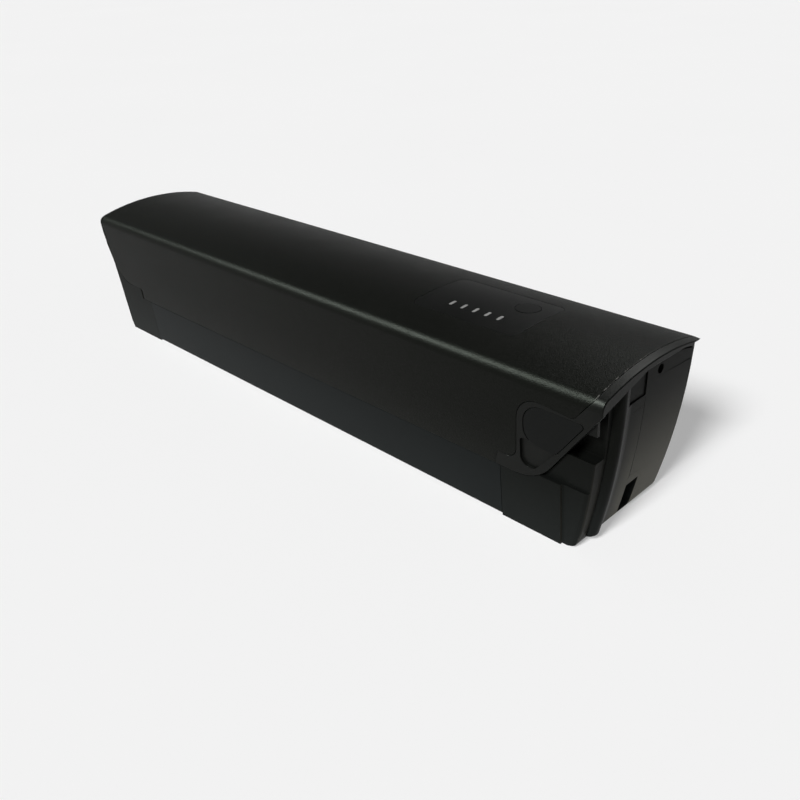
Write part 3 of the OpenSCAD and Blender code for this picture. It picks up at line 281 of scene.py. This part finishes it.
# The low colours below are a painted floor reflection towards the foot, and the cap's end colour
# is a painted sheen on its end face.
FINISHES = {
    "shell_coat": black(
        "sand_coat_black", (1.8, 2.0, 1.6), (3.6, 3.9, 3.2),
        rough=0.41, grain=0.00055, depth=0.0002, level=0.045, dust=0.5, worn=0.2163,
        low=(0.009, 0.0095, 0.0087), gloss=(0.95, 1.0, 0.89)),
    "case_plastic": black(
        "case_black", (2.4, 3.0, 3.0), (4.0, 5.0, 5.0),
        rough=0.42, grain=0.0003, depth=0.00002, level=0.045, dust=0.35,
        low=(0.0072, 0.0086, 0.0086), gloss=(0.94, 1.0, 1.0)),
    "cap_plastic": black(
        "cap_black", (2.8, 3.1, 2.7), (4.8, 5.2, 4.6),
        rough=0.34, grain=0.0004, depth=0.00003, level=0.022, dust=0.4,
        low=(0.0095, 0.0108, 0.0104), end=(0.068, 0.0645, 0.05), gloss=(1.0, 1.0, 0.88)),
    "trim_plastic": black(
        "trim_black", (2.2, 2.4, 2.1), (4.0, 4.3, 3.9),
        rough=0.40, grain=0.0004, depth=0.00003, level=0.08, dust=0.4, gloss=(0.98, 1.0, 0.93)),
    "cover_rubber": black(
        "cover_rubber_black", (2.6, 2.9, 2.7), (4.6, 5.0, 4.6),
        rough=0.5, grain=0.0003, depth=0.00002, level=0.05, dust=0.6),
    "button_rubber": black(
        "button_black", (2.2, 2.4, 2.1), (4.0, 4.3, 3.9),
        rough=0.42, grain=0.0003, depth=0.00002, level=0.06),
    "panel_film": black(
        "panel_film_black", (2.2, 2.4, 2.1), (4.0, 4.3, 3.9),
        rough=0.38, grain=0.0005, depth=0.00006, level=0.072, dust=0.3),
    "seal_rubber": black(
        "seal_black", (4.0, 4.0, 4.0), (8.0, 8.0, 8.0),
        rough=0.6, grain=0.0004, depth=0.00003, level=0.1),
    "socket_plastic": black(
        "socket_black", (10, 10, 10), (18, 18, 18),
        rough=0.4, grain=0.0004, depth=0.00002, level=0.4),
    "switch_plastic": moulded(
        "switch_grey", (0.05, 0.05, 0.05), (0.08, 0.08, 0.08),
        rough=0.4, grain=0.0003, depth=0.00002, level=0.5),
    "holder_plastic": moulded(
        "holder_grey", (0.03, 0.03, 0.032), (0.055, 0.055, 0.058),
        rough=0.5, grain=0.0006, depth=0.00004, level=0.5),
    "socket_white": moulded(
        "socket_natural", (0.6, 0.59, 0.54), (0.75, 0.74, 0.69),
        rough=0.4, grain=0.0005, depth=0.00002, level=0.5),
    "fuse_plastic": moulded(
        "fuse_amber", (0.55, 0.22, 0.02), (0.72, 0.34, 0.04),
        rough=0.25, grain=0.0008, depth=0.00001, level=0.5),
    "contact_metal": metal("plated_contact", (0.78, 0.58, 0.27), (0.62, 0.42, 0.18), 0.3, "X"),
    "steel": metal("zinc_plate", (0.62, 0.62, 0.6), (0.45, 0.45, 0.44), 0.38, "Z"),
    "nickel": metal("nickel_strip", (0.68, 0.65, 0.6), (0.55, 0.52, 0.48), 0.32, "X"),
    "sink_metal": metal("extruded_metal", (0.72, 0.73, 0.74), (0.58, 0.59, 0.6), 0.36, "X"),
    "lead_red": lead_sleeve("lead_red", (0.36, 0.02, 0.016), (0.5, 0.045, 0.035)),
    "lead_black": lead_sleeve("lead_black", (0.012, 0.012, 0.012), (0.03, 0.03, 0.03)),
    "board": circuit("solder_mask_green"),
    "cell_sleeve": cell_sleeves(),
    "sheet_paper": fibre_sheet(),
    "foam": foam_pad(),
    "ribbon": ribbon_lines(),
    "window_plastic": frosted_window(),
}

slot_of = {part["node"]: part["material_slot"] for part in frame["record"]["subparts"]}
for name, node in nodes.items():
    node.data.materials.clear()
    node.data.materials.append(FINISHES[slot_of[name]])


# The two arched faces of the CAD model: the axis they run along, a point of it and the radius.
CROWN = {"along": 0, "centre": (0.0, 0.0, -0.060), "radius": 0.155}
END_BOW = {"along": 1, "centre": (-0.1265, 0.0, 0.085), "radius": 0.345}
ON_ARCH = 0.0006  # metres off the radius that still count as the arched face
ALONG_ARCH = 0.9985  # and the least cosine between its normal and the arch's
MERGE = 2e-6  # metres
FLAT = math.radians(0.5)  # faces that turn by less become one
CREASE = math.radians(30.0)  # edges that turn by more are rounded, or else stay sharp
ROOM = 2.4  # radii that the faces and edges beside a round have to leave for it
EDGE_ROUND, PANEL_ROUND, COVER_ROUND = 0.0003, 0.0002, 0.0005


def true_normals(piece, arc):
    """Weighted normals, with those of the arched face taken from the arch itself."""
    weigh = piece.modifiers.new("weigh", "WEIGHTED_NORMAL")
    weigh.keep_sharp = True
    worked = piece.evaluated_get(bpy.context.evaluated_depsgraph_get())
    normals = [Vector(corner.vector) for corner in worked.to_mesh().corner_normals]
    worked.to_mesh_clear()
    piece.modifiers.clear()
    mesh = piece.data
    if arc:
        for face in mesh.polygons:
            for corner in face.loop_indices:
                spoke = mesh.vertices[mesh.loops[corner].vertex_index].co - Vector(arc["centre"])
                spoke[arc["along"]] = 0.0
                outward = spoke.normalized()
                on_arch = abs(spoke.length - arc["radius"]) < ON_ARCH
                if on_arch and face.normal.dot(outward) > ALONG_ARCH:
                    normals[corner] = outward
    mesh.normals_split_custom_set(normals)


def roomy(edge, room):
    """Whether the faces and edges beside this edge leave that much space for its round."""
    first, second = (v.co for v in edge.verts)
    line = (second - first).normalized()

    def width(face):
        sides = ((v.co - first) - line * (v.co - first).dot(line) for v in face.verts)
        return max(side.length for side in sides)

    return (all(width(face) > room for face in edge.link_faces)
            and all(other.calc_length() > room for v in edge.verts for other in v.link_edges))


def turns(edge):
    """The angle between the two faces of an edge, or None where it hasn't two."""
    return edge.calc_face_angle(0.0) if len(edge.link_faces) == 2 else None


def eased_copy(name, body, radius, arc=None, cuts=()):
    """A merged copy of a CAD piece whose sharp edges are rounded, in place of the piece."""
    shape = bmesh.new()
    shape.from_mesh(nodes[name].data)
    bmesh.ops.remove_doubles(shape, verts=shape.verts, dist=MERGE)
    bmesh.ops.dissolve_limit(shape, angle_limit=FLAT, verts=shape.verts, edges=shape.edges)
    for across in cuts:  # keeps the ends of the rounds out of the long strips of an arched face
        bmesh.ops.bisect_plane(shape, geom=[*shape.verts, *shape.edges, *shape.faces], dist=1e-6,
                               plane_co=(across, 0, 0), plane_no=(1, 0, 0))
    picked = [e for e in shape.edges if (turns(e) or 0.0) > CREASE and roomy(e, ROOM * radius)]
    if picked:
        bmesh.ops.bevel(shape, geom=picked, offset=radius, offset_type="OFFSET", segments=2,
                        profile=0.5, affect="EDGES", clamp_overlap=False, loop_slide=True,
                        material=-1)
    for face in shape.faces:
        face.smooth = True
    for edge in shape.edges:
        turn = turns(edge)
        edge.smooth = turn is not None and turn < CREASE
    mesh = bpy.data.meshes.new(name + "_eased")
    shape.to_mesh(mesh)
    shape.free()
    piece = bpy.data.objects.new(name + "_eased", mesh)
    bpy.context.scene.collection.objects.link(piece)
    mesh.materials.append(FINISHES[slot_of[name]])
    true_normals(piece, arc)
    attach(piece, body)
    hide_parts(name)


eased_copy("top_shell", "pack", EDGE_ROUND, CROWN, cuts=(-0.2152, 0.0856, 0.1584, 0.2152))
eased_copy("indicator_panel", "pack", PANEL_ROUND, CROWN, cuts=(0.0884, 0.1556))
eased_copy("port_end_cap", "pack", EDGE_ROUND, END_BOW)
for name in ("lower_case", "port_trim_arch", "connector_end_cap"):
    eased_copy(name, "pack", EDGE_ROUND)
eased_copy("charge_cover", "cover", COVER_ROUND)
eased_copy("power_button", "button", EDGE_ROUND)


def camera():
    """The photograph's viewpoint, solved from the pack's own straight edges."""
    place = Vector((0.391913, -0.321866, 0.269742))
    sight = Vector((-0.63672063, 0.60147293, -0.48251131))
    down = Vector((0.31450657, -0.36876136, -0.87470033))
    lens = bpy.data.cameras.new("camera")
    lens.lens, lens.sensor_width = 38.746, 36.0
    lens.clip_start, lens.clip_end = 0.01, 100.0
    viewer = bpy.data.objects.new("camera", lens)
    bpy.context.scene.collection.objects.link(viewer)
    turned = Matrix((down.cross(sight), -down, -sight)).transposed()
    viewer.matrix_world = Matrix.Translation(place) @ turned.to_4x4()
    bpy.context.scene.camera = viewer


def aim(name, lamp, place, target):
    """A light at that place, turned towards the target."""
    holder = bpy.data.objects.new(name, lamp)
    bpy.context.scene.collection.objects.link(holder)
    line = Vector(target) - Vector(place)
    turned = line.to_track_quat("-Z", "Y").to_matrix()
    holder.matrix_world = Matrix.Translation(place) @ turned.to_4x4()
    return holder


def softbox(name, place, target, width, height, power):
    """A card of light that shows in reflections alone."""
    lamp = bpy.data.lights.new(name, "AREA")
    lamp.shape, lamp.size, lamp.size_y, lamp.energy = "RECTANGLE", width, height, power
    holder = aim(name, lamp, place, target)
    holder.visible_diffuse = False
    holder.visible_camera = False
    return holder


def sun(name, place, spread, power):
    """Sunlight from that side, spread over so many degrees, that shows in no reflection."""
    lamp = bpy.data.lights.new(name, "SUN")
    lamp.angle, lamp.energy = math.radians(spread), power
    aim(name, lamp, place, (0, 0, 0)).visible_glossy = False


FLOOR_RADIUS, FLOOR_DROP = 9.0, 0.0002  # metres, the drop below the pack's foot
FLOOR_GLOW, GLOW_SHARE = 0.93, 0.4  # the glow that evens out the white, and its share


def floor():
    """A pale floor that keeps the shadow and is about the same white everywhere."""
    shape = bmesh.new()
    bmesh.ops.create_circle(shape, cap_ends=True, segments=96, radius=FLOOR_RADIUS)
    bmesh.ops.translate(shape, verts=shape.verts, vec=(0, 0, -FLOOR_DROP))
    mesh = bpy.data.meshes.new("floor")
    shape.to_mesh(mesh)
    shape.free()
    made, place = begin("floor_white")
    mottle = place.noise(0.4, 3.0).tint((0.86, 0.86, 0.86), (0.89, 0.89, 0.89))
    dull = place.make("BsdfDiffuse", None, {"Color": mottle})
    glow = place.make("Emission", None, {"Color": paint((FLOOR_GLOW,) * 3), "Strength": 1.0})
    path = place.make("LightPath")
    seen = [Wire(path.tree, path.socket.node.outputs[key]) for key in
            ("Is Camera Ray", "Is Glossy Ray", "Is Transmission Ray")]
    share = place.maths("MINIMUM", seen[0] + seen[1] + seen[2], 1.0) * GLOW_SHARE
    both = place.make("MixShader", None, {0: share, 1: dull, 2: glow})
    place.make("OutputMaterial", None, {"Surface": both})
    mesh.materials.append(made)
    ground = bpy.data.objects.new("floor", mesh)
    bpy.context.scene.collection.objects.link(ground)


def daylight():
    """World light: a pale horizon, brightest behind the connector end, and a dim ceiling."""
    world = bpy.data.worlds.new("studio")
    bpy.context.scene.world = world
    world.use_nodes = True
    tree = world.node_tree
    tree.nodes.clear()
    place = Wire(tree, tree.nodes.new("ShaderNodeTexCoord").outputs["Generated"])
    height = place.axis("Z")
    behind = place.axis("Y").between(-0.2, 0.5)
    left = (place.axis("X") * -1).between(0.42, 0.85)
    front_rim = 1 - height.between(0.04, 0.16)
    back_rim = (1 - height.between(0.05, 0.4)) * (left * 0.44 + 0.32)
    level = front_rim * (1 - behind) * 0.8 + back_rim * behind + 0.05
    glow = place.make("Background", None, {"Color": (1, 1, 1, 1), "Strength": level})
    place.make("OutputWorld", None, {"Surface": glow})


camera()
floor()
daylight()
window = softbox("window_left", (-0.7, -0.74, 1.18), (-0.7, 0, 0.09), 1.0, 0.36, 120)
window.data.color = (0.92, 1.0, 0.96)
softbox("card_end", (1.24, 1.17, 0.43), (0.21, 0, 0.09), 0.7, 0.5, 3)
softbox("card_top", (-0.13, 1.02, 1.14), (0.2, 0, 0.09), 0.6, 0.6, 9)
sun("sun_high", (0.23, -1.17, 1.0), 15, 4.5)
bpy.context.scene.view_settings.view_transform = "Standard"
